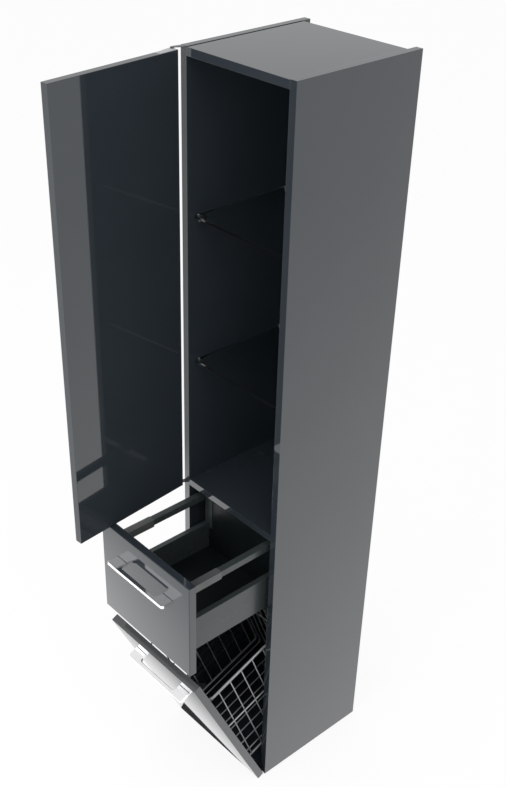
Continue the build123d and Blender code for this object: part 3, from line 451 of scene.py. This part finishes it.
def floorGlow(finish, across, back):
    reckon, spread = finish.reckon, finish.spread

    # A painted glow, stronger on the right, and a painted pool of light in front on the left
    sides = floorLook["leftGlow"], floorLook["rightGlow"]
    glow = spread(across, *sides, *floorLook["glowTurn"])
    far = spread(across, 1.0, floorLook["farShare"], *floorLook["farTurn"])
    glow = reckon("MULTIPLY", glow, far)
    # Painted pool of light, added to the reflected glow
    poolX, poolY = floorLook["poolPlace"]
    awayX = reckon("SUBTRACT", across, poolX)
    awayY = reckon("MULTIPLY", reckon("SUBTRACT", back, poolY), floorLook["poolStretch"])
    square = reckon("ADD", reckon("POWER", awayX, 2.0), reckon("POWER", awayY, 2.0))
    pool = spread(reckon("POWER", square, 0.5), 1.0, 0.0, *floorLook["poolReach"])
    pool = reckon("MULTIPLY", reckon("POWER", pool, floorLook["poolPower"]), floorLook["poolGlow"])
    glow = reckon("ADD", glow, pool)

    # Painted shade under the open flap, in the glow that reflections see, darkest in a painted
    # shadow wedge along its foot
    inFront = spread(across, 1.0, 0.0, *floorLook["shadeEnd"])
    underFlap = reckon("MULTIPLY", inFront, spread(back, 0.0, 1.0, *floorLook["flapReach"]))
    slopeX, slopeY = floorLook["flapSlope"]
    shade = reckon("ADD", reckon("MULTIPLY", across, slopeX), reckon("MULTIPLY", back, slopeY))
    shade = spread(shade, *floorLook["flapShadeGlow"], *floorLook["flapTurn"])
    lit = reckon("MULTIPLY", glow, reckon("SUBTRACT", 1.0, underFlap))
    glow = reckon("ADD", lit, reckon("MULTIPLY", shade, underFlap))
    # Painted shadow: a dark wedge in the reflected glow along the flap's foot
    slant = reckon("MULTIPLY", across, -floorLook["footSlant"])
    nearFoot = reckon("SUBTRACT", reckon("ADD", back, slant), floorLook["footPlace"])
    foot = spread(nearFoot, 0.0, 1.0 - floorLook["footShadowDark"], *floorLook["footSoft"])
    foot = reckon("MULTIPLY", foot, inFront)
    foot = reckon("MULTIPLY", foot, spread(across, 0.0, 1.0, *floorLook["footStart"]))
    return reckon("MULTIPLY", glow, reckon("SUBTRACT", 1.0, foot))


def makeFloor():
    half = floorLook["size"] / 2
    corners = [(-half, -half), (half, -half), (half, half), (-half, half)]
    mesh = bpy.data.meshes.new("floor")
    mesh.from_pydata([(x, y, floorLook["level"]) for x, y in corners], [], [(0, 1, 2, 3)])
    floor = bpy.data.objects.new("floor", mesh)
    bpy.context.collection.objects.link(floor)
    finish = Finish("studioFloor")
    finish.set(
        Base_Color=(*floorLook["paint"], 1),
        Roughness=floorLook["rough"],
        Specular_IOR_Level=floorLook["sheen"],
    )
    nodes, links = finish.nodes, finish.links
    parts = nodes.new("ShaderNodeSeparateXYZ")
    links.new(finish.place, parts.inputs["Vector"])
    reflected = nodes.new("ShaderNodeEmission")
    glow = floorGlow(finish, parts.outputs["X"], parts.outputs["Y"])
    links.new(glow, reflected.inputs["Strength"])

    # Rays through glass count as glossy too, so they are taken out of the mirrored ones
    rays = nodes.new("ShaderNodeLightPath")
    throughGlass = rays.outputs["Is Transmission Ray"]
    seen = finish.reckon("MAXIMUM", rays.outputs["Is Camera Ray"], throughGlass)
    seen = finish.reckon("MULTIPLY", seen, 1.0 - floorLook["shadowShare"])
    mirrored = finish.reckon("SUBTRACT", rays.outputs["Is Glossy Ray"], throughGlass)
    white = nodes.new("ShaderNodeEmission")
    ground = finish.shader.outputs["BSDF"]
    ground = finish.shareOut(seen, ground, white.outputs["Emission"])
    ground = finish.shareOut(mirrored, ground, reflected.outputs["Emission"])
    links.new(ground, nodes["Material Output"].inputs["Surface"])
    mesh.materials.append(finish.material)


makeFloor()
print("floor laid")


# White air all round, a little weaker as light than as background
air = {"colour": (1, 1, 1, 1), "light": 0.9, "background": 1.0}


def makeAir():
    world = bpy.data.worlds.new("studioAir")
    bpy.context.scene.world = world
    world.use_nodes = True
    nodes, links = world.node_tree.nodes, world.node_tree.links
    rays = nodes.new("ShaderNodeLightPath").outputs
    seen = reckon(nodes, links, "MAXIMUM", rays["Is Camera Ray"], rays["Is Transmission Ray"])
    strength = nodes.new("ShaderNodeMapRange")
    strength.inputs["To Min"].default_value = air["light"]
    strength.inputs["To Max"].default_value = air["background"]
    links.new(seen, strength.inputs["Value"])
    links.new(strength.outputs["Result"], nodes["Background"].inputs["Strength"])
    nodes["Background"].inputs["Color"].default_value = air["colour"]


makeAir()
print("air made")


# Soft lamps; the small one on the left lights the handles' upper faces
lamps = {
    "frontSoftbox": {
        "place": (0.3, -2.8, 2.1),
        "towards": (0, -0.2, 1.3),
        "size": 1.6,
        "power": 40,
    },
    "keySoftbox": {
        "place": (1.6, -1.2, 3.4),
        "towards": (0, -0.3, 0.8),
        "size": 1.8,
        "power": 25,
    },
    "leftSoftbox": {
        "place": (-2.35, -2.55, 2.7),
        "towards": (0, -0.5, 0.7),
        "size": 1.4,
        "power": 9,
    },
}
for name, look in lamps.items():
    lampData = bpy.data.lights.new(name, "AREA")
    lampData.size = look["size"]
    lampData.energy = look["power"]
    lamp = bpy.data.objects.new(name, lampData)
    lamp.location = look["place"]
    aim(lamp, Vector(look["towards"]) - Vector(look["place"]))
    bpy.context.collection.objects.link(lamp)
print("lamps placed")
